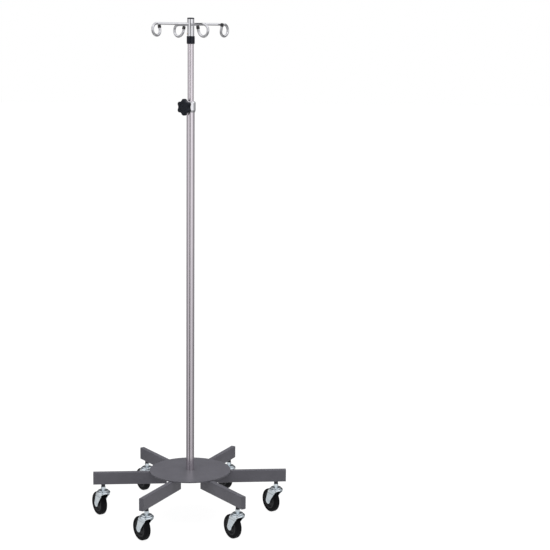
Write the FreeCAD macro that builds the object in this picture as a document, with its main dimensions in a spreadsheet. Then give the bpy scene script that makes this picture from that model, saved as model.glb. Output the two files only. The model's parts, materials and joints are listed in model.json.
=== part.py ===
import FreeCAD, Part
import math
import os

import Sketcher
from FreeCAD import Rotation, Vector

# Rolling six-leg infusion stand: a round plate on six welded tube legs with swivel
# casters, and a telescoping mast that carries four pigtail hooks.
# Origin on the floor under the mast, +Z up, +X along the first leg. Millimetres, degrees.

SIZES = {
    # base
    "plate_diameter": 260.5, "plate_thickness": 4.2, "plate_edge": 1.2,
    "leg_count": 6, "leg_height": 40, "leg_width": 16, "leg_wall": 1.6, "leg_corner": 2.4,
    "leg_inner_end": 75, "leg_outer_end": 308, "leg_underside": 108.5, "end_plate_thickness": 2,
    # casters
    "caster_circle": 278.5, "caster_trail": 26.5, "heading_one": 121, "heading_two": 121,
    "heading_three": 120, "heading_four": 119.5, "heading_five": 124, "heading_six": 122,
    "wheel_diameter": 76, "tyre_width": 20, "tread_diameter": 53, "fork_top": 84.5, "fork_width": 26,
    "fork_sheet": 2, "fork_crown": 44.8, "fork_tip": 11, "cheek_top": 20, "cheek_length": 40,
    "skirt_drop": 4.2, "kingpin_diameter": 8, "axle_diameter": 8,
    "race_diameter": 35, "ball_diameter": 4, "ball_circle": 13, "ball_level": 1.4, "ball_count": 12,
    "hex_flats": 13,
    "hex_bottom": 88.8, "hex_top": 100.3, "stem_diameter": 10, "stem_top": 138.5,
    # mast
    "lower_outer": 25.4, "lower_wall": 1.4, "lower_top": 1328, "socket_depth": 30, "socket_floor": 5,
    "upper_outer": 19.05, "upper_wall": 1.2, "upper_foot": 515, "upper_top": 1548,
    "glide_length": 30, "guide_bottom": 1264, "guide_top": 1302,
    # clamp
    "collar_outer": 31.5, "collar_bottom": 1297, "collar_top": 1331, "boss_reach": 16.9,
    "knob_height": 1313.5, "knob_azimuth": 227.4, "knob_seat": 17.5, "knob_neck": 5.7,
    "knob_depth": 13.5, "knob_bore": 14,
    "lobe_centre": 18.3, "lobe_radius": 7.5, "lobe_hollow": 9, "stud_diameter": 8, "pad_diameter": 9.2,
    "pad_outer_reach": 11.6,
    # head
    "head_outer": 21.6, "head_wall": 1.2, "head_bottom": 1528.5, "head_top": 1580,
    "sleeve_outer": 25, "sleeve_bottom": 1505, "hook_azimuth": 20, "hook_cross": 88,
    "rod_diameter": 7.94, "rod_upper": 1565.4, "rod_lower": 1563.4, "hook_arm": 105.5,
    "hook_elbow": 12, "hook_twist": 26, "hook_bend": 17.9, "hook_lean": 12.5, "hook_rise": 13.1,
    "hook_rise_long": 20.5,
    "tip_outer": 10.4, "tip_cover": 8.5,
    "screw_height": 1535.5, "screw_azimuth": 178.4,
    # clearances
    "running_gap": 0.05,
}

doc = FreeCAD.newDocument("infusion_stand")
PARTS = []


class Size:
    """A number together with the sheet expression that drives it."""

    def __init__(self, value, text):
        self.value = float(value)
        self.text = text

    def __add__(self, other):
        other = size_of(other)
        return Size(self.value + other.value, f"({self.text} + {other.text})")

    def __sub__(self, other):
        other = size_of(other)
        return Size(self.value - other.value, f"({self.text} - {other.text})")

    def __mul__(self, other):
        other = size_of(other)
        return Size(self.value * other.value, f"({self.text} * {other.text})")

    def __truediv__(self, other):
        other = size_of(other)
        return Size(self.value / other.value, f"({self.text} / {other.text})")

    def __radd__(self, other):
        return size_of(other) + self

    def __rsub__(self, other):
        return size_of(other) - self

    def __rmul__(self, other):
        return size_of(other) * self

    def __neg__(self):
        return size_of(0) - self


def size_of(number):
    return number if isinstance(number, Size) else Size(number, f"{float(number):.6f}")


def cosine(angle):
    angle = size_of(angle)
    return Size(math.cos(math.radians(angle.value)), f"cos({angle.text})")


def sine(angle):
    angle = size_of(angle)
    return Size(math.sin(math.radians(angle.value)), f"sin({angle.text})")


def fill_sheet():
    sheet = doc.addObject("Spreadsheet::Sheet", "Sizes")
    found = {}
    for row, (name, value) in enumerate(SIZES.items(), start=1):
        sheet.set(f"A{row}", name)
        sheet.set(f"B{row}", str(value))
        sheet.setAlias(f"B{row}", name)
        found[name] = Size(value, f"Sizes.{name}")
    doc.recompute()
    return found


class Names:
    def __init__(self, table):
        self.__dict__.update(table)


s = Names(fill_sheet())

# Levels and radii that several pieces share.
leg_top = s.leg_underside + s.leg_height
wheel_radius = s.wheel_diameter / 2
rod_radius = s.rod_diameter / 2
halving_shelf = (s.rod_upper - s.rod_lower) / 2 - 0.03
upper_radius = s.upper_outer / 2
upper_bore = upper_radius - s.upper_wall
lower_radius = s.lower_outer / 2
lower_bore = lower_radius - s.lower_wall
socket_bottom = leg_top - s.socket_depth
mast_foot = socket_bottom + s.socket_floor
hook_drop = s.hook_bend * 2


# ---- building blocks ----

def drive(item, path, size):
    size = size_of(size)
    if "Sizes." in size.text:
        item.setExpression(path, size.text)


def body(label, x=0, y=0, z=0, turn=0):
    item = doc.addObject("PartDesign::Body", label)
    item.Label = label
    item.AllowCompound = True
    place(item, x, y, z, turn)
    PARTS.append(item)
    return item


def place(item, x, y, z, turn):
    x, y, z, turn = (size_of(v) for v in (x, y, z, turn))
    item.Placement = FreeCAD.Placement(
        Vector(x.value, y.value, z.value), Rotation(Vector(0, 0, 1), turn.value)
    )
    for path, size in (("Base.x", x), ("Base.y", y), ("Base.z", z), ("Rotation.Angle", turn)):
        drive(item, f"Placement.{path}", size)


def plane_of(item, role):
    for feature in item.Origin.OriginFeatures:
        if feature.Role == role:
            return feature
    raise ValueError(role)


def sketch(item, name, role, x=0, y=0, z=0, tilt=0):
    """Sketch on an origin plane, moved by x, y, z in that plane's own axes and tilted about its x."""
    drawing = item.newObject("Sketcher::SketchObject", name)
    drawing.AttachmentSupport = (plane_of(item, role), [""])
    drawing.MapMode = "FlatFace"
    x, y, z, tilt = (size_of(v) for v in (x, y, z, tilt))
    drawing.AttachmentOffset = FreeCAD.Placement(
        Vector(x.value, y.value, z.value), Rotation(Vector(1, 0, 0), tilt.value)
    )
    for path, size in (("Base.x", x), ("Base.y", y), ("Base.z", z), ("Rotation.Angle", tilt)):
        drive(drawing, f"AttachmentOffset.{path}", size)
    return drawing


def fix(drawing, geometry, end, x, y):
    for kind, axis, size in (("DistanceX", -2, x), ("DistanceY", -1, y)):
        size = size_of(size)
        if abs(size.value) < 1e-9:
            drawing.addConstraint(Sketcher.Constraint("PointOnObject", geometry, end, axis))
            continue
        index = drawing.addConstraint(Sketcher.Constraint(kind, -1, 1, geometry, end, size.value))
        drive(drawing, f"Constraints[{index}]", size)


def arc_centre(start, finish, radius, side):
    """Centre of the shorter arc; side +1 puts it on the left of the way from start to finish."""
    middle = (start + finish) * 0.5
    along = finish - start
    reach = math.sqrt(max(radius**2 - along.Length**2 / 4, 0))
    left = Vector(-along.y, along.x, 0).normalize()
    return middle + left * reach * side


def path(drawing, corners):
    """Closed lines and arcs through corners (x, y) or (x, y, radius, side), the arc running to the next."""
    points = [Vector(size_of(c[0]).value, size_of(c[1]).value, 0) for c in corners]
    count = len(corners)
    ends = []
    for i in range(count):
        start, finish = points[i], points[(i + 1) % count]
        if len(corners[i]) == 2:
            index = drawing.addGeometry(Part.LineSegment(start, finish), False)
            ends.append((index, 1, 2))
            continue
        radius, side = size_of(corners[i][2]), corners[i][3]
        centre = arc_centre(start, finish, radius.value, side)
        first, last = (start, finish) if side > 0 else (finish, start)
        angles = [math.atan2(p.y - centre.y, p.x - centre.x) for p in (first, last)]
        circle = Part.Circle(centre, Vector(0, 0, 1), radius.value)
        index = drawing.addGeometry(Part.ArcOfCircle(circle, *angles), False)
        ends.append((index, 1, 2) if side > 0 else (index, 2, 1))
        held = drawing.addConstraint(Sketcher.Constraint("Radius", index, radius.value))
        drive(drawing, f"Constraints[{held}]", radius)
    for i in range(count):
        index, start, finish = ends[i]
        fix(drawing, index, start, corners[i][0], corners[i][1])
        after = ends[(i + 1) % count]
        drawing.addConstraint(Sketcher.Constraint("Coincident", index, finish, after[0], after[1]))


def circle(drawing, x, y, radius):
    x, y, radius = size_of(x), size_of(y), size_of(radius)
    ring = Part.Circle(Vector(x.value, y.value, 0), Vector(0, 0, 1), radius.value)
    index = drawing.addGeometry(ring, False)
    fix(drawing, index, 3, x, y)
    held = drawing.addConstraint(Sketcher.Constraint("Radius", index, radius.value))
    drive(drawing, f"Constraints[{held}]", radius)


def rounded_box(drawing, low_x, high_x, low_y, high_y, corner):
    path(drawing, [
        (low_x + corner, low_y), (high_x - corner, low_y, corner, 1),
        (high_x, low_y + corner), (high_x, high_y - corner, corner, 1),
        (high_x - corner, high_y), (low_x + corner, high_y, corner, 1),
        (low_x, high_y - corner), (low_x, low_y + corner, corner, 1),
    ])


def settle(item, feature):
    doc.recompute()
    if "Invalid" in feature.State or "Error" in feature.State or feature.Shape.isNull():
        raise RuntimeError(f"{item.Label}: {feature.Name} failed")
    return feature


def pad(item, drawing, length, both=False):
    feature = item.newObject("PartDesign::Pad", drawing.Name + "_pad")
    feature.Profile = drawing
    feature.Midplane = both
    feature.Length = size_of(length).value
    drive(feature, "Length", length)
    drawing.Visibility = False
    return settle(item, feature)


def pocket(item, drawing, length, ahead=False, both=False):
    """Cut along the sketch's normal when ahead is set, else against it."""
    before = item.Shape.Volume
    feature = item.newObject("PartDesign::Pocket", drawing.Name + "_cut")
    feature.Profile = drawing
    feature.Midplane = both
    feature.Reversed = ahead
    feature.Length = size_of(length).value
    drive(feature, "Length", length)
    settle(item, feature)
    if item.Shape.Volume > before - 0.01:
        raise RuntimeError(f"{item.Label}: {feature.Name} cut nothing")
    return feature


def spin(item, drawing, cut=False):
    """Turn a sketch about its own vertical axis, adding to the body or cutting a groove."""
    kind = "PartDesign::Groove" if cut else "PartDesign::Revolution"
    feature = item.newObject(kind, drawing.Name + "_turn")
    feature.Profile = drawing
    feature.ReferenceAxis = (drawing, ["V_Axis"])
    feature.Angle = 360
    return settle(item, feature)


def turned(item, name, corners, x=0, y=0, role="XZ_Plane", tilt=0):
    """Outline in a plane through the axis, turned about the sketch's vertical axis."""
    drawing = sketch(item, name, role, x, y, tilt=tilt)
    path(drawing, corners)
    return spin(item, drawing)


def tube(inner, outer, low, high):
    return [(inner, low), (outer, low), (outer, high), (inner, high)]


def repeat(item, features, count):
    """Copies round the body's Z axis."""
    feature = item.newObject("PartDesign::PolarPattern", item.Name + "_ring")
    feature.Originals = features
    feature.Axis = (plane_of(item, "Z_Axis"), [""])
    feature.Angle = 360
    feature.Occurrences = int(size_of(count).value)
    drive(feature, "Occurrences", count)
    item.Tip = feature
    return settle(item, feature)


def loft(item, sections, cut=False):
    kind = "PartDesign::SubtractiveLoft" if cut else "PartDesign::AdditiveLoft"
    feature = item.newObject(kind, sections[0].Name + "_loft")
    feature.Profile = sections[0]
    feature.Sections = sections[1:]
    feature.Ruled = False
    return settle(item, feature)


def round_edges(item, base, chosen, radius):
    feature = item.newObject("PartDesign::Fillet", base.Name + "_round")
    feature.Base = (base, chosen)
    feature.Radius = size_of(radius).value
    drive(feature, "Radius", radius)
    return settle(item, feature)


def edges(feature, test):
    return [f"Edge{i}" for i, edge in enumerate(feature.Shape.Edges, start=1) if test(edge)]


def at_level(feature, z):
    """Edges lying wholly at one height of the body."""
    level = size_of(z).value

    def test(edge):
        box = edge.BoundBox
        return abs(box.ZMin - level) < 1e-3 and abs(box.ZMax - level) < 1e-3

    return edges(feature, test)


# ---- base ----

def make_base_plate():
    item = body("base_plate", z=leg_top)
    drawing = sketch(item, "plate_outline", "XY_Plane")
    circle(drawing, 0, 0, s.plate_diameter / 2)
    circle(drawing, 0, 0, lower_radius + s.running_gap)
    disc = pad(item, drawing, s.plate_thickness)
    rim = [e for e in edges(disc, lambda edge: edge.BoundBox.XLength > s.plate_diameter.value - 1)
           if e in at_level(disc, s.plate_thickness)]
    round_edges(item, disc, rim, s.plate_edge)


def make_leg(number):
    item = body(f"leg_{number}", z=s.leg_underside, turn=60 * (number - 1))
    drawing = sketch(item, f"leg_{number}_section", "YZ_Plane", z=s.leg_inner_end)
    half, wall = s.leg_width / 2, s.leg_wall
    rounded_box(drawing, -half, half, size_of(0), s.leg_height, s.leg_corner)
    rounded_box(drawing, -half + wall, half - wall, wall, s.leg_height - wall, s.leg_corner - wall)
    pad(item, drawing, s.leg_outer_end - s.leg_inner_end)
    hole = sketch(item, f"leg_{number}_stem_hole", "XY_Plane")
    circle(hole, s.caster_circle, 0, s.stem_diameter / 2 + 0.2)
    pocket(item, hole, wall * 2, ahead=True)


def make_leg_ends():
    item = body("leg_end_plates", z=s.leg_underside)
    drawing = sketch(item, "end_outline", "YZ_Plane", z=s.leg_outer_end)
    half = s.leg_width / 2
    rounded_box(drawing, -half, half, size_of(0), s.leg_height, s.leg_corner)
    plate = pad(item, drawing, s.end_plate_thickness)
    repeat(item, [plate], s.leg_count)


def make_stem_inserts():
    item = body("stem_inserts")
    low, bore = s.leg_underside + s.leg_wall, s.stem_diameter / 2 + s.running_gap
    ring = turned(item, "insert_section",
                  [(bore, low), (5.5, low), (6.3, low + 1.2), (6.3, low + 30), (bore, low + 30)],
                  x=s.caster_circle)
    repeat(item, [ring], s.leg_count)


def make_mast_socket():
    item = body("mast_socket", z=socket_bottom)
    bore = lower_radius + s.running_gap
    turned(item, "socket_section", [
        (5.3, 0), (bore + 2.4, 0), (bore + 3.6, 1.2), (bore + 3.6, s.socket_depth),
        (bore, s.socket_depth), (bore, s.socket_floor), (5.3, s.socket_floor),
    ])


def make_base_bolt():
    washer = body("base_washer", z=socket_bottom)
    turned(washer, "washer_section", tube(5.25, 10, -2, 0))
    bolt = body("base_bolt", z=socket_bottom - 2)
    head = sketch(bolt, "bolt_head", "XY_Plane")
    hexagon(head, 16)
    head_pad = pad(bolt, head, 6.5)
    head_pad.Reversed = True
    settle(bolt, head_pad)
    turned(bolt, "bolt_shank", [(0, -1), (5, -1), (5, 30), (4, 31), (0, 31)])


def hexagon(drawing, flats, x=0, y=0):
    corner = size_of(flats) / size_of(math.sqrt(3))
    path(drawing, [(x + corner * math.cos(math.radians(60 * i)),
                    y + corner * math.sin(math.radians(60 * i))) for i in range(6)])


# ---- casters ----

def make_caster_stems():
    item = body("caster_stems")
    pin, stud = s.kingpin_diameter / 2, s.stem_diameter / 2
    rivet = s.fork_top - s.fork_sheet - 0.6
    shaft = turned(item, "stem_section", [
        (0, rivet - 3), (5.5, rivet - 3), (8, rivet - 1.6), (8, rivet), (pin, rivet),
        (pin, s.hex_bottom), (stud, s.hex_bottom), (stud, s.stem_top - 1), (stud - 1, s.stem_top),
        (0, s.stem_top),
    ], x=s.caster_circle)
    nut = sketch(item, "stem_hex", "XY_Plane", z=s.hex_bottom)
    hexagon(nut, s.hex_flats, x=s.caster_circle)
    hex_pad = pad(item, nut, s.hex_top - s.hex_bottom)
    repeat(item, [shaft, hex_pad], s.leg_count)


def make_stem_sleeves():
    item = body("stem_sleeves")
    inner = s.stem_diameter / 2 + s.running_gap
    ring = turned(item, "sleeve_section", [
        (inner, s.hex_top), (6.4, s.hex_top), (6.4, s.leg_underside - 1), (5.9, s.leg_underside),
        (inner, s.leg_underside),
    ], x=s.caster_circle)
    repeat(item, [ring], s.leg_count)


def make_race_caps():
    item = body("swivel_race_caps")
    rim, pin, top = s.race_diameter / 2, s.kingpin_diameter / 2, s.hex_bottom
    dome = turned(item, "cap_section", [
        (rim, s.fork_top + 0.35), (rim, s.fork_top + 2, 2.2, 1), (rim - 2.2, top - 0.1),
        (rim - 3, top), (pin + 0.02, top), (pin + 0.02, top - 1.5), (rim - 1.3, top - 1.5),
        (rim - 1.3, s.fork_top + 0.35),
    ], x=s.caster_circle)
    channel = ball_track(item, "cap_channel", s.fork_top + s.ball_level, x=s.caster_circle)
    repeat(item, [dome, channel], s.leg_count)


def ball_track(item, name, level, x=0):
    """Round groove that the swivel balls run in."""
    drawing = sketch(item, name, "XZ_Plane", x=x)
    circle(drawing, s.ball_circle, level, s.ball_diameter / 2 + s.running_gap)
    return spin(item, drawing, cut=True)


def make_swivel_balls():
    item = body("swivel_balls")
    level, radius = s.fork_top + s.ball_level, s.ball_diameter / 2
    middle = sketch(item, "ball_section", "XZ_Plane", x=s.caster_circle + s.ball_circle, y=level)
    path(middle, [(0, -radius, radius, 1), (radius, 0, radius, 1), (0, radius)])
    ball = spin(item, middle)
    around = sketch(item, "ball_ring", "XY_Plane", x=s.caster_circle)
    circle(around, 0, 0, s.ball_circle)
    both = item.newObject("PartDesign::MultiTransform", "ball_rings")
    both.Originals = [ball]
    ring = item.newObject("PartDesign::PolarPattern", "ball_one_ring")
    ring.Axis = (around, ["N_Axis"])
    ring.Angle = 360
    ring.Occurrences = int(s.ball_count.value)
    drive(ring, "Occurrences", s.ball_count)
    rings = item.newObject("PartDesign::PolarPattern", "ball_all_rings")
    rings.Axis = (plane_of(item, "Z_Axis"), [""])
    rings.Angle = 360
    rings.Occurrences = int(s.leg_count.value)
    drive(rings, "Occurrences", s.leg_count)
    both.Transformations = [ring, rings]
    item.Tip = both
    settle(item, both)


def caster_spot(number, behind=0):
    """Where a caster's swivel axis, or a point behind it, stands, and which way it trails."""
    headings = [s.heading_one, s.heading_two, s.heading_three, s.heading_four, s.heading_five,
                s.heading_six]
    turn, heading = size_of(60 * (number - 1)), headings[number - 1]
    x = s.caster_circle * cosine(turn) + behind * cosine(heading)
    y = s.caster_circle * sine(turn) + behind * sine(heading)
    return x, y, heading


def fork_sections(item, prefix, shrink, first):
    """Plan sections of the pressed fork, from the round crown down to the flat cheeks."""
    crown, cheek = s.fork_crown / 2, s.fork_width / 2
    table = [
        (0, crown - 2.2, crown - 2.2, crown - 2.2, 20), (2.6, crown, crown, crown, 22.2),
        (6, crown, 24.5, 20, 18), (10, 21.5, 27.5, 16.8, 12), (14, 20, 31, 14.2, 7.5),
        (s.cheek_top, 18, 34, cheek, 5),
    ]
    drawings = []
    for number, (down, front, back, side, corner) in enumerate(table[first:]):
        drawing = sketch(item, f"{prefix}_{number}", "XY_Plane", z=-size_of(down))
        rounded_box(drawing, -(size_of(front) - shrink), size_of(back) - shrink,
                    -(size_of(side) - shrink), size_of(side) - shrink, size_of(corner) - shrink)
        drawings.append(drawing)
    return drawings


def fork_cheeks(item, name, shrink):
    """Plan of the flat lower part of the fork."""
    drawing = sketch(item, name, "XY_Plane", z=-s.cheek_top)
    side, corner = s.fork_width / 2 - shrink, 5 - shrink
    rounded_box(drawing, shrink - 18, 46 - shrink, -side, side, corner)
    return drawing


def make_fork(number):
    x, y, heading = caster_spot(number)
    item = body(f"fork_{number}", x, y, s.fork_top, heading)
    tag = f"fork_{number}"
    none = size_of(0)
    loft(item, fork_sections(item, tag + "_outer", none, 0))
    cheeks = pad(item, fork_cheeks(item, tag + "_cheeks", none), s.cheek_length)
    cheeks.Reversed = True
    settle(item, cheeks)
    loft(item, fork_sections(item, tag + "_inner", s.fork_sheet, 1), cut=True)
    pocket(item, fork_cheeks(item, tag + "_cheek_gap", s.fork_sheet), s.cheek_length)
    drop, tip, trail = s.fork_top - wheel_radius, s.fork_tip, s.caster_trail
    slot = sketch(item, tag + "_wheel_slot", "XZ_Plane")
    path(slot, [(12, -3.4), (70, -3.4), (70, -70), (12, -70)])
    pocket(item, slot, s.fork_width - s.fork_sheet * 2, both=True)
    front = sketch(item, tag + "_front", "XZ_Plane")
    path(front, [
        (-60, -s.skirt_drop), (-21, -s.skirt_drop, 225, -1), (trail - tip, -drop),
        (trail - tip, -70), (-60, -70),
    ])
    pocket(item, front, 80, both=True)
    back = sketch(item, tag + "_back", "XZ_Plane")
    path(back, [(s.fork_crown / 2 + 0.4, -2), (70, -2), (70, -70), (trail + tip, -70),
                (trail + tip, -drop)])
    pocket(item, back, 80, both=True)
    ends = sketch(item, tag + "_ends", "XZ_Plane")
    path(ends, [
        (trail - tip - 1, -drop), (trail - tip, -drop, tip, 1), (trail, -drop - tip, tip, 1),
        (trail + tip, -drop), (trail + tip + 1, -drop), (trail + tip + 1, -70),
        (trail - tip - 1, -70),
    ])
    pocket(item, ends, 80, both=True)
    hole = sketch(item, tag + "_axle_hole", "XZ_Plane")
    circle(hole, trail, -drop, s.axle_diameter / 2 + s.running_gap)
    pocket(item, hole, 80, both=True)
    bore = sketch(item, tag + "_pin_hole", "XY_Plane")
    circle(bore, 0, 0, s.kingpin_diameter / 2 + s.running_gap)
    pocket(item, bore, 5)
    ball_track(item, tag + "_track", s.ball_level)


def make_axle(number):
    x, y, heading = caster_spot(number, s.caster_trail)
    item = body(f"axle_{number}", x, y, wheel_radius, heading)
    reach, radius = s.fork_width / 2, s.axle_diameter / 2
    drawing = sketch(item, f"axle_{number}_section", "XY_Plane")
    path(drawing, [
        (0, -reach - 0.9), (1.4, -reach - 1.6), (4.4, -reach - 1.6, 1.6, 1), (5.6, -reach - 0.4),
        (5.6, -reach), (radius, -reach), (radius, reach), (5.6, reach),
        (5.6, reach + 0.4, 1.6, 1), (4.4, reach + 1.6), (1.4, reach + 1.6), (0, reach + 0.9),
    ])
    spin(item, drawing)


def make_wheel(number):
    x, y, heading = caster_spot(number, s.caster_trail)
    hub = body(f"wheel_hub_{number}", x, y, wheel_radius, heading)
    bore, tread, half = s.axle_diameter / 2 + 0.06, s.tread_diameter / 2, s.tyre_width / 2
    turned(hub, f"hub_{number}_section", [
        (bore, -10.8), (7.5, -10.8), (8.4, -7.6), (19.5, -4.6), (22.5, -8.6), (tread, -8.8),
        (tread, 8.8), (22.5, 8.6), (19.5, 4.6), (8.4, 7.6), (7.5, 10.8), (bore, 10.8),
    ], role="XY_Plane")
    tyre = body(f"tyre_{number}", x, y, wheel_radius, heading)
    turned(tyre, f"tyre_{number}_section", [
        (tread, -half + 0.8), (tread + 1.2, -half), (tread + 3.2, -half), (tread + 3.8, -half + 0.7),
        (tread + 4.6, -half + 0.7), (tread + 5.2, -half), (wheel_radius - 5, -half + 0.3, 5.4, 1),
        (wheel_radius, -half + 5.6), (wheel_radius, half - 5.6, 5.4, 1),
        (wheel_radius - 5, half - 0.3), (tread + 5.2, half), (tread + 4.6, half - 0.7),
        (tread + 3.8, half - 0.7), (tread + 3.2, half), (tread + 1.2, half), (tread, half - 0.8),
    ], role="XY_Plane")


# ---- mast ----

def radial_hole(item, name, height, radius, reach):
    drawing = sketch(item, name, "YZ_Plane")
    circle(drawing, 0, height, radius)
    pocket(item, drawing, reach, ahead=True)


def make_lower_mast():
    item = body("lower_mast", z=mast_foot, turn=s.knob_azimuth)
    turned(item, "lower_mast_section", tube(lower_bore, lower_radius, 0, s.lower_top - mast_foot))
    radial_hole(item, "lower_mast_hole", s.knob_height - mast_foot, s.pad_diameter / 2 + 0.1, 20)


def make_mast_plug():
    item = body("mast_plug", z=mast_foot)
    turned(item, "mast_plug_section", [
        (5.1, 0), (lower_bore - 0.02, 0), (lower_bore - 0.02, 29), (lower_bore - 1, 30), (0, 30),
        (0, 27), (5.1, 27),
    ])


def make_clamp_collar():
    item = body("clamp_collar", z=s.collar_bottom, turn=s.knob_azimuth)
    bore, rim = lower_radius + s.running_gap, s.collar_outer / 2
    shelf, top = s.lower_top - s.collar_bottom, s.collar_top - s.collar_bottom
    turned(item, "collar_section", [
        (bore, 0), (lower_radius + 0.7, 0), (rim - 0.4, 5.4), (rim, 6.6), (rim, top - 5),
        (rim - 0.8, top - 3.8, 9, 1), (10.6, top), (9.9, top), (9.9, shelf), (bore, shelf),
    ])
    level = s.knob_height - s.collar_bottom
    boss = sketch(item, "boss_outline", "YZ_Plane", z=lower_radius + 1.2)
    circle(boss, 0, level, 7.5)
    pad(item, boss, s.boss_reach - lower_radius - 1.2)
    radial_hole(item, "pad_bore", level, s.pad_diameter / 2 + 0.1, 14.2)
    radial_hole(item, "stud_bore", level, s.stud_diameter / 2 + s.running_gap, 25)


def make_guide_bush():
    item = body("guide_bush", z=s.guide_bottom)
    inner, outer = upper_radius + 0.075, lower_bore - s.running_gap
    length = s.guide_top - s.guide_bottom
    turned(item, "guide_section", [
        (inner, 0.8), (inner + 0.8, 0), (outer, 0), (outer, length), (inner + 0.8, length),
        (inner, length - 0.8),
    ])


def make_glide_bush():
    item = body("glide_bush", z=s.upper_foot)
    inner, outer = upper_radius + s.running_gap, lower_bore - s.running_gap
    turned(item, "glide_section", [
        (inner, 0.1), (outer - 0.6, 0.1), (outer, 0.8), (outer, s.glide_length - 0.6),
        (outer - 0.6, s.glide_length), (inner, s.glide_length),
    ])


def make_upper_mast():
    item = body("upper_mast", z=s.upper_foot, turn=s.screw_azimuth)
    turned(item, "upper_mast_section", tube(upper_bore, upper_radius, 0, s.upper_top - s.upper_foot))
    radial_hole(item, "upper_mast_screw_hole", s.screw_height - s.upper_foot, 2.55, 20)


def make_mast_foot():
    plug = body("mast_foot_plug", z=s.upper_foot)
    turned(plug, "foot_section", [
        (0, -4), (9, -4), (10.4, -2.6), (10.4, 0), (upper_bore - 0.05, 0), (upper_bore - 0.05, 17),
        (upper_bore - 1, 18), (0, 18),
    ])
    ring = body("retaining_ring", z=s.upper_foot + s.glide_length)
    turned(ring, "ring_section", tube(upper_radius + 0.02, 10.7, 0.1, 2.1))


# ---- clamp screw ----

def aim(item, reach, height, azimuth):
    """Point the body's own Z outward along a level direction."""
    turn = f"create(<<rotation>>; create(<<vector>>; 0; 0; 1); {azimuth.text})"
    tip = "create(<<rotation>>; create(<<vector>>; 0; 1; 0); 90)"
    x, y = size_of(reach) * cosine(azimuth), size_of(reach) * sine(azimuth)
    spot = f"create(<<vector>>; {x.text}; {y.text}; {height.text})"
    item.setExpression("Placement", f"create(<<placement>>; {spot}; {turn} * {tip})")


def make_pressure_pad():
    item = body("pressure_pad")
    drawing = sketch(item, "pad_outline", "XY_Plane", z=upper_radius - 4)
    circle(drawing, 0, 0, s.pad_diameter / 2)
    pad(item, drawing, s.pad_outer_reach - upper_radius + 4)
    saddle = sketch(item, "pad_saddle", "YZ_Plane")
    circle(saddle, 0, 0, upper_radius + s.running_gap)
    pocket(item, saddle, 40, both=True)
    aim(item, 0, s.knob_height, s.knob_azimuth)


def make_knob():
    item = body("knob")
    face = s.knob_neck + s.knob_depth
    drawing = sketch(item, "knob_outline", "XY_Plane", z=s.knob_neck)
    lobe_outline(drawing)
    block = pad(item, drawing, s.knob_depth)
    front = round_edges(item, block, at_level(block, face), 3.6)
    round_edges(item, front, at_level(front, s.knob_neck), 2.4)
    neck = sketch(item, "knob_neck", "XY_Plane")
    circle(neck, 0, 0, 9)
    pad(item, neck, s.knob_neck + 1)
    bore = sketch(item, "knob_bore", "XY_Plane")
    circle(bore, 0, 0, s.stud_diameter / 2 + 0.02)
    pocket(item, bore, s.knob_bore, ahead=True)
    recess = sketch(item, "knob_recess", "XY_Plane", z=face)
    circle(recess, 0, 0, 12.5)
    pocket(item, recess, 1.6)
    aim(item, s.knob_seat, s.knob_height, s.knob_azimuth)


def lobe_outline(drawing):
    """Six lobes joined by hollows, every arc tangent to the next."""
    hollow = s.lobe_hollow.value
    centre, radius = s.lobe_centre.value, s.lobe_radius.value
    gap = radius + hollow
    cos30 = math.cos(math.radians(30))
    valley = centre * cos30 + math.sqrt(gap**2 - (centre * 0.5) ** 2)
    middle = Vector(centre, 0, 0)
    away = Vector(valley * cos30, valley * 0.5, 0)
    touch = middle + (away - middle) * (radius / gap)
    corners = []
    for number in range(6):
        turn = Rotation(Vector(0, 0, 1), 60 * number)
        low = turn.multVec(Vector(touch.x, -touch.y, 0))
        tip = turn.multVec(Vector(centre + radius, 0, 0))
        high = turn.multVec(touch)
        corners += [(low.x, low.y, s.lobe_radius, 1), (tip.x, tip.y, s.lobe_radius, 1),
                    (high.x, high.y, s.lobe_hollow, -1)]
    path(drawing, corners)


def make_knob_stud():
    item = body("knob_stud")
    radius, start = s.stud_diameter / 2, s.pad_outer_reach + 0.06
    length = s.knob_seat + s.knob_bore - 0.1 - start
    turned(item, "stud_section", [
        (0, 0), (radius - 0.8, 0), (radius, 0.8), (radius, length), (0, length),
    ])
    aim(item, start, s.knob_height, s.knob_azimuth)
    cap = body("knob_cap")
    turned(cap, "cap_disc", [
        (0, 0), (12.45, 0), (12.45, 0.8), (11.8, 1.3), (3.4, 1.3), (2.6, 0.5), (0, 0.5),
    ])
    aim(cap, s.knob_seat + s.knob_neck + s.knob_depth - 1.6, s.knob_height, s.knob_azimuth)


# ---- head ----

def make_stop_collar():
    item = body("stop_collar", z=s.sleeve_bottom)
    inner, outer, top = upper_radius + s.running_gap, s.sleeve_outer / 2, s.head_bottom - s.sleeve_bottom
    turned(item, "stop_section", [
        (inner, 0), (outer - 2.6, 0, 2.6, 1), (outer, 2.6), (outer, top - 0.6), (outer - 0.6, top),
        (inner, top),
    ])


def cross_hole(item, name, height, azimuth):
    """Hole for a hook rod, right through the tube."""
    drawing = sketch(item, name, "YZ_Plane")
    drawing.AttachmentOffset = FreeCAD.Placement(Vector(), Rotation(Vector(0, 1, 0), azimuth.value))
    drawing.setExpression("AttachmentOffset.Rotation.Angle", azimuth.text)
    circle(drawing, 0, height, rod_radius + s.running_gap)
    pocket(item, drawing, 60, both=True)


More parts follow.
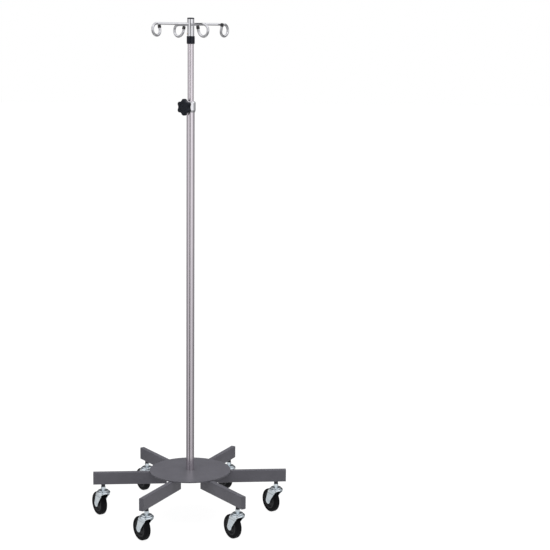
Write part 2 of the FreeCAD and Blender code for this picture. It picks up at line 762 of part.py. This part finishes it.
def make_head_tube():
    item = body("head_tube", z=s.head_bottom)
    outer = s.head_outer / 2
    inner, top = outer - s.head_wall, s.head_top - s.head_bottom
    turned(item, "head_section", tube(inner, outer, 0, top))
    cross_hole(item, "upper_rod_hole", s.rod_upper - s.head_bottom, s.hook_azimuth)
    cross_hole(item, "lower_rod_hole", s.rod_lower - s.head_bottom, s.hook_azimuth + s.hook_cross)
    side = sketch(item, "head_screw_hole", "YZ_Plane")
    side.AttachmentOffset = FreeCAD.Placement(Vector(), Rotation(Vector(0, 1, 0), s.screw_azimuth.value))
    side.setExpression("AttachmentOffset.Rotation.Angle", s.screw_azimuth.text)
    circle(side, 0, s.screw_height - s.head_bottom, 2.55)
    pocket(item, side, 30, ahead=True)


def make_top_cap():
    item = body("top_cap", z=s.head_top)
    inner = s.head_outer / 2 - s.head_wall - 0.02
    turned(item, "top_cap_section", [
        (0, -10), (inner - 1, -10), (inner, -9), (inner, 0), (s.head_outer / 2, 0),
        (s.head_outer / 2, 2, 2.4, 1), (s.head_outer / 2 - 2.4, 4.2), (0, 4.6),
    ])


def make_head_screw():
    item = body("head_screw")
    start, finish = upper_bore - 0.2, s.head_outer / 2 + 0.9
    turned(item, "screw_section", [
        (0, 0), (2.5, 0), (2.5, finish - start - 0.4), (2.1, finish - start),
        (1.2, finish - start), (1.2, finish - start - 1.5), (0, finish - start - 1.5),
    ])
    aim(item, start, s.screw_height, s.screw_azimuth)


def twisted_sketch(item, name, role, spot, twist=0, lean=0):
    """Sketch at a spot given in the body's axes, turned about the vertical, then leaned about its x."""
    drawing = item.newObject("Sketcher::SketchObject", name)
    drawing.AttachmentSupport = (plane_of(item, role), [""])
    drawing.MapMode = "FlatFace"
    x, y, z = (size_of(v) for v in spot)
    order = {"XY_Plane": (x, y, z), "YZ_Plane": (y, z, x), "XZ_Plane": (x, z, -y)}[role]
    upright = "0; 0; 1" if role == "XY_Plane" else "0; 1; 0"
    moved = "; ".join(v.text for v in order)
    turn = f"create(<<rotation>>; create(<<vector>>; {upright}); {size_of(twist).text})"
    tip = f"create(<<rotation>>; create(<<vector>>; 1; 0; 0); {size_of(lean).text})"
    text = f"create(<<placement>>; create(<<vector>>; {moved}); {turn} * {tip})"
    drawing.setExpression("AttachmentOffset", text)
    return drawing


def swung(item, drawing, start, finish, angle):
    """Swing a section about the line from start to finish in its own sketch."""
    points = [Vector(size_of(x).value, size_of(y).value, 0) for x, y in (start, finish)]
    index = drawing.addGeometry(Part.LineSegment(*points), True)
    fix(drawing, index, 1, *start)
    fix(drawing, index, 2, *finish)
    feature = item.newObject("PartDesign::Revolution", drawing.Name + "_swing")
    feature.Profile = drawing
    feature.ReferenceAxis = (drawing, ["Axis0"])
    feature.Angle = size_of(angle).value
    drive(feature, "Angle", angle)
    return settle(item, feature)


def hook_shoulder():
    """Where the elbow ends and the loop begins, in the rod's own axes."""
    x = s.hook_arm + s.hook_elbow * sine(s.hook_twist)
    y = s.hook_elbow - s.hook_elbow * cosine(s.hook_twist)
    return x, y


def hook_rise_foot():
    """Where the loop ends and the straight rise to the tip begins."""
    x, y = hook_shoulder()
    inward, sideways = s.hook_bend, s.hook_bend * sine(s.hook_lean)
    foot_x = x - inward * cosine(s.hook_twist) + sideways * sine(s.hook_twist)
    foot_y = y - inward * sine(s.hook_twist) - sideways * cosine(s.hook_twist)
    return foot_x, foot_y, s.hook_bend * cosine(s.hook_lean) - hook_drop


def hook_rise_sketch(item, name, role, end):
    """Sketch at the foot of the rise on one end of the rod, 1 or -1."""
    x, y, z = hook_rise_foot()
    return twisted_sketch(item, name, role, (x * end, y * end, z), s.hook_twist + 90 - 90 * end, s.hook_lean)


def make_hook_rod(label, height, turn, rises, halved):
    """The two rods cross inside the head tube, each halved on the side it turns to the other."""
    item = body(label, z=height, turn=turn)
    bend, elbow = s.hook_bend, s.hook_elbow
    bar = sketch(item, label + "_bar", "YZ_Plane")
    circle(bar, 0, 0, rod_radius)
    pad(item, bar, s.hook_arm * 2, both=True)
    corner = twisted_sketch(item, label + "_elbow", "YZ_Plane", (s.hook_arm, 0, 0))
    circle(corner, 0, 0, rod_radius)
    pieces = [swung(item, corner, (elbow, 0), (elbow, 10), s.hook_twist)]
    x, y = hook_shoulder()
    over = twisted_sketch(item, label + "_over", "YZ_Plane", (x, y, 0), s.hook_twist)
    circle(over, 0, 0, rod_radius)
    pieces.append(swung(item, over, (0, -bend), (10, -bend), 180))
    back = twisted_sketch(item, label + "_return", "YZ_Plane", (x, y, 0), s.hook_twist)
    circle(back, 0, -hook_drop, rod_radius)
    pivot_x, pivot_y = -bend * sine(s.hook_lean), bend * cosine(s.hook_lean) - hook_drop
    far_end = (pivot_x + 10 * cosine(s.hook_lean), pivot_y + 10 * sine(s.hook_lean))
    pieces.append(swung(item, back, (pivot_x, pivot_y), far_end, 90))
    repeat(item, pieces, 2)
    for end, length in rises.items():
        rise = hook_rise_sketch(item, f"{label}_rise_{end % 3}", "XY_Plane", end)
        circle(rise, 0, 0, rod_radius)
        pad(item, rise, length)
    halving = sketch(item, label + "_halving", "XZ_Plane")
    shelf, far, wide = halving_shelf * halved, size_of(12 * halved), rod_radius + 0.3
    path(halving, [(-wide, shelf), (wide, shelf), (wide, far), (-wide, far)])
    pocket(item, halving, s.rod_diameter * 2, both=True)


def make_hook_tips(label, height, turn, rises):
    item = body(label, z=height, turn=turn)
    inner, outer = rod_radius + 0.02, s.tip_outer / 2
    for end, length in rises.items():
        low = length - s.tip_cover
        drawing = hook_rise_sketch(item, f"{label}_section_{end % 3}", "XZ_Plane", end)
        path(drawing, [
            (inner, low), (outer - 0.6, low), (outer, low + 0.6), (outer, length - 1.4, 3.4, 1),
            (outer - 3.2, length + 2), (0, length + 2), (0, length + 0.05), (inner, length + 0.05),
        ])
        spin(item, drawing)


# ---- whole stand ----

make_base_plate()
make_leg_ends()
make_stem_inserts()
make_mast_socket()
make_base_bolt()
make_caster_stems()
make_stem_sleeves()
make_race_caps()
make_swivel_balls()
for corner_number in range(1, 7):
    make_leg(corner_number)
    make_fork(corner_number)
    make_axle(corner_number)
    make_wheel(corner_number)
make_lower_mast()
make_mast_plug()
make_clamp_collar()
make_guide_bush()
make_glide_bush()
make_upper_mast()
make_mast_foot()
make_pressure_pad()
make_knob()
make_knob_stud()
make_stop_collar()
make_head_tube()
make_top_cap()
make_head_screw()
upper_rises = {1: s.hook_rise_long, -1: s.hook_rise}
lower_rises = {1: s.hook_rise, -1: s.hook_rise}
make_hook_rod("hook_rod_upper", s.rod_upper, s.hook_azimuth, upper_rises, -1)
make_hook_rod("hook_rod_lower", s.rod_lower, s.hook_azimuth + s.hook_cross, lower_rises, 1)
make_hook_tips("hook_tips_upper", s.rod_upper, s.hook_azimuth, upper_rises)
make_hook_tips("hook_tips_lower", s.rod_lower, s.hook_azimuth + s.hook_cross, lower_rises)

doc.recompute()
for thing in doc.Objects:
    if "Invalid" in thing.State or "Error" in thing.State:
        raise RuntimeError(f"{thing.Label} did not compute")
os.makedirs("parts", exist_ok=True)
for piece in PARTS:
    shape = piece.Shape
    if shape.isNull() or not shape.isValid():
        raise RuntimeError(f"{piece.Label} is not a valid shape")
    shape.exportStep(f"parts/{piece.Label}.step")
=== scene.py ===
import json
import math

import bmesh
import bpy
from mathutils import Matrix, Vector


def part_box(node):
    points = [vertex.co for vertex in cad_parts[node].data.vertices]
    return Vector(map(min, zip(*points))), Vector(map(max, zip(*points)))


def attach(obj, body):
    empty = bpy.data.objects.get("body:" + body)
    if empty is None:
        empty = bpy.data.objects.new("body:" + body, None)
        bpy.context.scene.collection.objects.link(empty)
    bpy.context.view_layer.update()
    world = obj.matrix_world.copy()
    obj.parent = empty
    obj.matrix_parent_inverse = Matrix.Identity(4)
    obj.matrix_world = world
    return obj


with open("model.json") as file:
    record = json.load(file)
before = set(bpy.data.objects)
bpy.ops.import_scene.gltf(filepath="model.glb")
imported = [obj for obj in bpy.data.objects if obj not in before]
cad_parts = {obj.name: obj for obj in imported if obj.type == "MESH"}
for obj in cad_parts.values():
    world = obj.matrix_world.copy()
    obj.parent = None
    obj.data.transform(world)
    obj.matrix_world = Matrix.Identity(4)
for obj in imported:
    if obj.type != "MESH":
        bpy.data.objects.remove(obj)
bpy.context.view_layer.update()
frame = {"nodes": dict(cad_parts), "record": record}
NODES = frame["nodes"]

LEGS = range(1, 7)


# ---- node trees ----

class Nodes:
    """A node tree; add() makes a node and wires or sets its inputs."""

    def __init__(self, tree):
        self.tree = tree

    def add(self, kind, settings=None, **inputs):
        made = self.tree.nodes.new(kind)
        for key, value in (settings or {}).items():
            setattr(made, key, value)
        for key, value in inputs.items():
            self.put(made, key.replace("_", " "), value)
        return made

    def put(self, node, name, value):
        socket = node.inputs[int(name)] if name.isdigit() else node.inputs[name]
        if isinstance(value, bpy.types.NodeSocket):
            self.tree.links.new(value, socket)
        else:
            socket.default_value = value

    def calculate(self, operation, *values):
        made = self.add("ShaderNodeMath", {"operation": operation})
        for index, value in enumerate(values):
            self.put(made, str(index), value)
        return made.outputs[0]

    def ramp(self, value, stops):
        """Colour ramp; stops are (position, colour)."""
        made = self.add("ShaderNodeValToRGB", Fac=value)
        marks = made.color_ramp.elements
        while len(marks) < len(stops):
            marks.new(0.5)
        for mark, (spot, colour) in zip(marks, stops):
            mark.position = spot
            mark.color = (*colour, 1)
        return made.outputs["Color"]

    def level(self, value, low, high, start=0.0, finish=1.0):
        """Map the stretch from start to finish onto low to high, and hold the ends."""
        made = self.add("ShaderNodeMapRange", Value=value)
        made.inputs["From Min"].default_value = start
        made.inputs["From Max"].default_value = finish
        made.inputs["To Min"].default_value = low
        made.inputs["To Max"].default_value = high
        return made.outputs[0]

    def mix(self, amount, first, second):
        made = self.add("ShaderNodeMix", {"data_type": "RGBA"})
        self.put(made, "0", amount)
        for name, colour in (("6", first), ("7", second)):
            given = isinstance(colour, bpy.types.NodeSocket)
            self.put(made, name, colour if given else (*colour, 1))
        return made.outputs[2]


class Shader(Nodes):
    """
    A material on the Principled shader.

    Object coordinates are metres in the part's own frame, so a scale is features per metre.
    """

    def __init__(self, name):
        self.material = bpy.data.materials.new(name)
        self.material.use_nodes = True
        super().__init__(self.material.node_tree)
        self.surface = self.tree.nodes["Principled BSDF"]
        self.place = self.add("ShaderNodeTexCoord").outputs["Object"]

    def set(self, **inputs):
        for key, value in inputs.items():
            self.put(self.surface, key.replace("_", " "), value)

    def stretch(self, x, y, z):
        """Object coordinates scaled, so that a pattern is drawn out along an axis."""
        return self.add("ShaderNodeMapping", Vector=self.place, Scale=(x, y, z)).outputs[0]

    def noise(self, scale, detail=3, rough=0.55, where=None):
        made = self.add("ShaderNodeTexNoise", Vector=where or self.place, Scale=scale,
                        Detail=detail, Roughness=rough)
        return made.outputs["Fac"]

    def bump(self, heights, depth, strength, rounding=0.0):
        """Bump of the given depth in metres, on edges softened by a rounding in metres."""
        made = self.add("ShaderNodeBump", Height=heights, Strength=strength, Distance=depth)
        if rounding:
            self.put(made, "Normal", self.softened(rounding))
        self.put(self.surface, "Normal", made.outputs[0])

    def softened(self, rounding):
        return self.add("ShaderNodeBevel", {"samples": 6}, Radius=rounding).outputs[0]

    def edges(self, rounding):
        """0 on flats, 1 along edges."""
        product = self.add("ShaderNodeVectorMath", {"operation": "DOT_PRODUCT"})
        self.put(product, "0", self.softened(rounding))
        self.put(product, "1", self.add("ShaderNodeNewGeometry").outputs["Normal"])
        return self.level(product.outputs["Value"], 1, 0, 0.75, 0.985)


def scaled(colour, factor):
    return tuple(channel * factor for channel in colour)


# ---- materials ----

def powder_coat(name, colour):
    """Powder coat: fine leathery texture, faint mottling, and a painted highlight that lightens
    the edges in patches.
    """
    paint = Shader(name)
    mottle = paint.noise(14, 5)
    shade = paint.ramp(mottle, [(0.3, scaled(colour, 0.88)), (0.72, scaled(colour, 1.12))])
    grain = paint.noise(1500, 2, 0.6)
    shade = paint.mix(paint.level(grain, 0, 0.22), shade, scaled(colour, 1.6))
    # Painted highlight: the colour is lightened towards a paler grey along the edges, in patches.
    highlight_patches = paint.level(paint.noise(70, 4), 0.1, 0.75, 0.35, 0.65)
    painted_edge_highlight = paint.calculate("MULTIPLY", paint.edges(0.0012), highlight_patches)
    shade = paint.mix(painted_edge_highlight, shade, scaled(colour, 2.1))
    paint.set(Base_Color=shade, Metallic=0.0, Specular_IOR_Level=0.2)
    paint.set(Roughness=paint.level(paint.noise(45, 4), 0.26, 0.38))
    peel = paint.add("ShaderNodeTexVoronoi", Vector=paint.place, Scale=900.0).outputs["Distance"]
    texture = paint.calculate("MULTIPLY_ADD", peel, 0.6, paint.noise(420, 3))
    paint.bump(texture, 0.00008, 0.4, 0.0009)
    return paint.material


def zinc_plate(name):
    """Bright zinc on pressed steel: cool, slightly cloudy, with faint drawing marks."""
    metal = Shader(name)
    cloud = metal.noise(60, 5, 0.6)
    shade = metal.ramp(cloud, [
        (0.3, (0.6, 0.67, 0.71)), (0.55, (0.7, 0.76, 0.8)), (0.8, (0.76, 0.79, 0.78)),
    ])
    marks = metal.noise(700, 2, 0.5, metal.stretch(1, 1, 0.12))
    metal.set(Base_Color=shade, Metallic=1.0)
    metal.set(Roughness=metal.level(marks, 0.12, 0.26, 0.3, 0.7))
    metal.bump(marks, 0.000006, 0.1, 0.0005)
    return metal.material


def drawn_tube(name, colour, smoothest, roughest):
    """Polished stainless tube: hairlines along its length and a few faint rub marks."""
    metal = Shader(name)
    lines = metal.noise(1.0, 3, 0.6, metal.stretch(2600, 2600, 9))
    rubs = metal.noise(1.0, 4, 0.6, metal.stretch(35, 35, 12))
    shade = metal.ramp(rubs, [(0.3, scaled(colour, 0.96)), (0.7, colour)])
    metal.set(Base_Color=shade, Metallic=1.0)
    metal.set(Roughness=metal.level(lines, smoothest, roughest, 0.3, 0.7))
    metal.bump(lines, 0.000003, 0.06)
    return metal.material


def polished(name, colour, smoothest=0.07, roughest=0.16):
    """Buffed metal with fine swirl marks: near mirror, or duller where the roughness says so."""
    metal = Shader(name)
    swirl = metal.noise(900, 4, 0.7)
    smear = metal.noise(110, 3)
    shade = metal.ramp(smear, [(0.3, scaled(colour, 0.92)), (0.7, colour)])
    metal.set(Base_Color=shade, Metallic=1.0)
    metal.set(Roughness=metal.level(swirl, smoothest, roughest, 0.3, 0.7))
    metal.bump(swirl, 0.000004, 0.08, 0.0004)
    return metal.material


def gloss_moulding(name, colour, rough):
    """Moulded plastic: glossy, with a slight ripple and a haze as from being handled."""
    plastic = Shader(name)
    haze = plastic.noise(130, 5, 0.6)
    hazed = tuple(channel * 1.7 + 0.002 for channel in colour)
    shade = plastic.ramp(haze, [(0.35, colour), (0.75, hazed)])
    plastic.set(Base_Color=shade, Specular_IOR_Level=0.36, Specular_Tint=(0.8, 0.87, 1, 1))
    plastic.set(Roughness=plastic.level(haze, rough - 0.05, rough + 0.12))
    plastic.bump(plastic.noise(260, 3), 0.00006, 0.2, 0.0008)
    return plastic.material


def matte_moulding(name, colour, rough):
    """Moulded plastic with a fine spark-eroded grain."""
    plastic = Shader(name)
    grain = plastic.noise(2400, 2, 0.6)
    cloud = plastic.noise(70, 3)
    shade = plastic.ramp(cloud, [(0.3, scaled(colour, 0.85)), (0.7, scaled(colour, 1.2))])
    plastic.set(Base_Color=shade, Specular_IOR_Level=0.25)
    plastic.set(Roughness=plastic.level(grain, rough - 0.08, rough + 0.12))
    plastic.bump(grain, 0.00006, 0.5)
    return plastic.material


def tyre_rubber(name):
    """Moulded black rubber: satin, with a dusty bloom in patches."""
    rubber = Shader(name)
    bloom = rubber.noise(55, 5, 0.65)
    shade = rubber.ramp(bloom, [
        (0.35, (0.003, 0.003, 0.004)), (0.62, (0.006, 0.006, 0.007)), (0.85, (0.01, 0.009, 0.01)),
    ])
    rubber.set(Base_Color=shade, Specular_IOR_Level=0.06)
    rubber.set(Roughness=rubber.level(bloom, 0.4, 0.6))
    rubber.bump(rubber.noise(1300, 3), 0.00007, 0.5)
    return rubber.material


def dipped_rubber(name):
    """Soft black coating on the hook tips."""
    rubber = Shader(name)
    patches = rubber.noise(300, 4)
    shade = rubber.ramp(patches, [(0.3, (0.01, 0.01, 0.011)), (0.8, (0.03, 0.03, 0.031))])
    rubber.set(Base_Color=shade)
    rubber.set(Roughness=rubber.level(rubber.noise(420, 3), 0.34, 0.52))
    rubber.bump(rubber.noise(600, 2), 0.00008, 0.4)
    return rubber.material


MATERIALS = {
    "grey_paint": powder_coat("grey_powder_coat", (0.097, 0.095, 0.109)),
    "zinc": zinc_plate("zinc_plate"),
    "dark_steel": polished("black_oxide", (0.05, 0.05, 0.055), 0.3, 0.5),
    "tyre_rubber": tyre_rubber("tyre_rubber"),
    "hub_plastic": matte_moulding("hub_moulding", (0.009, 0.009, 0.011), 0.5),
    "stainless": drawn_tube("stainless_tube", (0.73, 0.677, 0.716), 0.12, 0.19),
    "polished_steel": polished("polished_steel", (0.8, 0.8, 0.82)),
    "black_plastic": gloss_moulding("black_moulding", (0.002, 0.0022, 0.0045), 0.16),
    "black_rubber": dipped_rubber("dipped_rubber"),
    "nylon": matte_moulding("natural_nylon", (0.72, 0.71, 0.66), 0.45),
    "brass": polished("brass", (0.72, 0.45, 0.2), 0.2, 0.34),
}


def dress_nodes():
    for part in frame["record"]["subparts"]:
        piece = NODES[part["node"]]
        piece.data.materials.clear()
        piece.data.materials.append(MATERIALS[part["material_slot"]])
    duller = drawn_tube("stainless_inner_tube", (0.84, 0.78, 0.82), 0.32, 0.38)
    NODES["upper_mast"].data.materials[0] = duller


# ---- weld beads ----

# Metres. A bead's middle lies a drop under the plate; its radius is LEG_BEAD or SOCKET_BEAD.
BEAD_SIDES = 8
BEAD_STEP = 0.0011
LEG_BEAD = 0.0022
LEG_BEAD_DROP = 0.0009
LEG_BEAD_SINK = 0.0006      # the middle lies this far inside the leg's side
INNER_GAP = 0.003           # from the leg's inner end
OUTER_GAP = 0.004           # from the plate's rim
SOCKET_BEAD = 0.0021
SOCKET_BEAD_DROP = 0.0008
SOCKET_BEAD_PROUD = 0.0004  # the middle lies this far outside the socket
SOCKET_BEAD_POINTS = 96


def weld_piece(name, work):
    """Make a painted piece of the base from the bmesh that work fills in."""
    shape = bmesh.new()
    work(shape)
    bmesh.ops.recalc_face_normals(shape, faces=shape.faces)
    data = bpy.data.meshes.new(name)
    shape.to_mesh(data)
    shape.free()
    for face in data.polygons:
        face.use_smooth = True
    data.materials.append(MATERIALS["grey_paint"])
    piece = bpy.data.objects.new(name, data)
    bpy.context.scene.collection.objects.link(piece)
    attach(piece, "base")


def swept(shape, points, radii, closed):
    """Tube of changing radius along points."""
    rings = []
    count = len(points)
    for i, point in enumerate(points):
        before = points[i - 1] if i or closed else point
        after = points[(i + 1) % count] if i + 1 < count or closed else point
        along = (after - before).normalized()
        side = along.cross(Vector((0, 0, 1))).normalized()
        up = side.cross(along)
        ring = []
        for k in range(BEAD_SIDES):
            turn = 2 * math.pi * k / BEAD_SIDES
            outward = side * math.cos(turn) + up * math.sin(turn)
            ring.append(shape.verts.new(point + outward * radii[i]))
        rings.append(ring)
    for i in range(count if closed else count - 1):
        low, high = rings[i], rings[(i + 1) % count]
        for k in range(BEAD_SIDES):
            n = (k + 1) % BEAD_SIDES
            shape.faces.new((low[k], low[n], high[n], high[k]))
    if not closed:
        shape.faces.new(rings[0][::-1])
        shape.faces.new(rings[-1])


def weld_line(shape, points, radius, closed=False):
    """Bead with the small ripples of hand welding, thinner at open ends."""
    radii = []
    for i in range(len(points)):
        ripple = 0.12 * math.sin(i * 1.9) + 0.07 * math.sin(i * 0.73 + 1)
        from_end = min(i, len(points) - 1 - i)
        taper = 1 if closed else min(1, 0.45 + 0.3 * from_end)
        radii.append(radius * (1 + ripple) * taper)
    swept(shape, points, radii, closed)


def bead_points(start, finish):
    steps = int((finish - start).length / BEAD_STEP)
    return [start.lerp(finish, i / steps) for i in range(steps + 1)]


def leg_welds(shape):
    """Two beads under the plate along each leg."""
    plate_low, plate_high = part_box("base_plate")
    leg_low, leg_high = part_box("leg_1")
    level = plate_low.z - LEG_BEAD_DROP
    for number in LEGS:
        turn = Matrix.Rotation(math.radians(60 * (number - 1)), 4, "Z")
        for side in (-1, 1):
            y = side * (leg_high.y - LEG_BEAD_SINK)
            first = turn @ Vector((leg_low.x + INNER_GAP, y, level))
            last = turn @ Vector((plate_high.x - OUTER_GAP, y, level))
            weld_line(shape, bead_points(first, last), LEG_BEAD)


def socket_weld(shape):
    """Bead round the mast socket, under the plate."""
    middle = Vector((0, 0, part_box("base_plate")[0].z - SOCKET_BEAD_DROP))
    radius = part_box("mast_socket")[1].x + SOCKET_BEAD_PROUD
    points = []
    for i in range(SOCKET_BEAD_POINTS):
        turn = 2 * math.pi * i / SOCKET_BEAD_POINTS
        points.append(Vector((math.cos(turn), math.sin(turn), 0)) * radius + middle)
    weld_line(shape, points, SOCKET_BEAD, closed=True)


# ---- stage ----

FLOOR_HALF = 30
# In reflections the floor is partly hidden out to FADE_START metres, and gone from FADE_END on.
HIDDEN_NEAR = 0.4
FADE_START, FADE_END = 0.5, 0.62

# Brightness of the room round the stand, by the share of a turn from -X, anticlockwise from
# above. The camera stands at 0.25, beside a dark gap between two bright panels.
ROOM = [
    (0.0, 0.55), (0.05, 0.66), (0.1, 0.95), (0.155, 1.25), (0.174, 0.04), (0.224, 0.04),
    (0.248, 1.0), (0.36, 1.12), (0.425, 0.9), (0.45, 0.42), (0.56, 0.38), (0.66, 0.42),
    (0.75, 0.5), (0.84, 0.4), (0.93, 0.4), (1.0, 0.55),
]
CEILING = 1.15
OVERHEAD = 0.6              # a dimmer patch in the middle of the ceiling
BELOW = 0.3
AMBIENT = 0.45              # what matt surfaces are lit by, from every side

# name, place, point lit, width and length, watts
SOFTBOXES = [
    ("key", (-2.6, -3.0, 3.2), (0, 0, 0.7), (2.2, 2.6), 6),
    ("fill", (3.2, -2.2, 2.4), (0, 0, 0.6), (2.4, 2.8), 4),
    ("back", (0.5, 3.2, 3.4), (0, 0, 0.5), (3.0, 2.0), 14),
    ("top", (0, -0.4, 4.2), (0, 0, 0), (3.4, 3.4), 140),
]

CAMERA_PLACE = (-0.1201, -4.2758, 1.5104)
CAMERA_YAW = 5.177
CAMERA_PITCH = 9.564
CAMERA_ROLL = 0.675
CAMERA_LENS = 90.06
CAMERA_SENSOR = 36


def floor():
    """Pale floor that glows softly, so that it meets the background without a line."""
    shape = bmesh.new()
    bmesh.ops.create_grid(shape, x_segments=2, y_segments=2, size=FLOOR_HALF)
    data = bpy.data.meshes.new("floor")
    shape.to_mesh(data)
    shape.free()
    paper = Shader("white_paper")
    paper.set(Base_Color=(0.1, 0.1, 0.1, 1), Roughness=0.9, Specular_IOR_Level=0.1,
              Emission_Color=(1, 1, 1, 1), Emission_Strength=0.95)
    reach = paper.add("ShaderNodeVectorMath", {"operation": "LENGTH"})
    paper.put(reach, "0", paper.place)
    hidden = paper.level(reach.outputs["Value"], HIDDEN_NEAR, 1, FADE_START, FADE_END)
    mirrored = paper.add("ShaderNodeLightPath").outputs["Is Glossy Ray"]
    blend = paper.add("ShaderNodeMixShader")
    paper.put(blend, "0", paper.calculate("MULTIPLY", hidden, mirrored))
    paper.put(blend, "1", paper.surface.outputs[0])
    paper.put(blend, "2", paper.add("ShaderNodeBsdfTransparent").outputs[0])
    paper.put(paper.tree.nodes["Material Output"], "Surface", blend.outputs[0])
    data.materials.append(paper.material)
    piece = bpy.data.objects.new("floor", data)
    bpy.context.scene.collection.objects.link(piece)


def cool(level, blueness=1.02):
    """A grey a little towards blue."""
    return (level, level, level * blueness)


def studio_world():
    """White to the camera; to everything else, a room of soft panels with darker gaps between."""
    world = bpy.data.worlds.new("studio")
    bpy.context.scene.world = world
    world.use_nodes = True
    room = Nodes(world.node_tree)
    way = room.add("ShaderNodeTexCoord").outputs["Generated"]
    parts = room.add("ShaderNodeSeparateXYZ", Vector=way).outputs
    turn = room.calculate("ARCTAN2", parts["Y"], parts["X"])
    share = room.level(turn, 0, 1, -math.pi, math.pi)
    lit = room.ramp(share, [(spot, cool(brightness)) for spot, brightness in ROOM])
    lit = room.mix(room.level(parts["Z"], 0, 0.5, -0.08, -0.3), lit, (0, 0, 0))
    far_wall = room.level(parts["Y"], 0, 1, 0.15, 0.6)
    raised = room.level(parts["Z"], 0, 0.8, 0.04, 0.16)
    lit = room.mix(room.calculate("MULTIPLY", far_wall, raised), lit, (0, 0, 0))
    lit = room.mix(room.level(parts["Z"], 0, 1, 0.4, 0.7), lit, cool(CEILING))
    lit = room.mix(room.level(parts["Z"], 0, 1, -0.45, -0.85), lit, (BELOW, BELOW, BELOW))
    lit = room.mix(room.level(parts["Z"], 0, 1, 0.84, 0.93), lit, cool(OVERHEAD, 1.04))
    rays = room.add("ShaderNodeLightPath").outputs
    lit = room.mix(rays["Is Diffuse Ray"], lit, cool(AMBIENT))
    seen = room.mix(rays["Is Camera Ray"], lit, (1, 1, 1))
    room.put(room.tree.nodes["Background"], "Color", seen)


def softbox(name, spot, aim, size, power):
    data = bpy.data.lights.new(name, "AREA")
    data.shape = "RECTANGLE"
    data.size, data.size_y = size
    data.energy = power
    lamp = bpy.data.objects.new(name, data)
    lamp.location = spot
    lamp.rotation_euler = (Vector(aim) - Vector(spot)).to_track_quat("-Z", "Y").to_euler()
    lamp.visible_glossy = False
    bpy.context.scene.collection.objects.link(lamp)


def camera():
    """A little under the hooks' height, looking down and to the right of the mast."""
    data = bpy.data.cameras.new("camera")
    data.sensor_width = CAMERA_SENSOR
    data.lens = CAMERA_LENS
    eye = bpy.data.objects.new("camera", data)
    yaw = Matrix.Rotation(math.radians(-CAMERA_YAW), 4, "Z")
    pitch = Matrix.Rotation(math.radians(90 - CAMERA_PITCH), 4, "X")
    roll = Matrix.Rotation(math.radians(CAMERA_ROLL), 4, "Z")
    eye.matrix_world = Matrix.Translation(CAMERA_PLACE) @ yaw @ pitch @ roll
    bpy.context.scene.collection.objects.link(eye)
    bpy.context.scene.camera = eye


dress_nodes()
weld_piece("leg_weld_beads", leg_welds)
weld_piece("socket_weld_bead", socket_weld)
floor()
studio_world()
for settings in SOFTBOXES:
    softbox(*settings)
camera()
bpy.context.scene.view_settings.view_transform = "Standard"
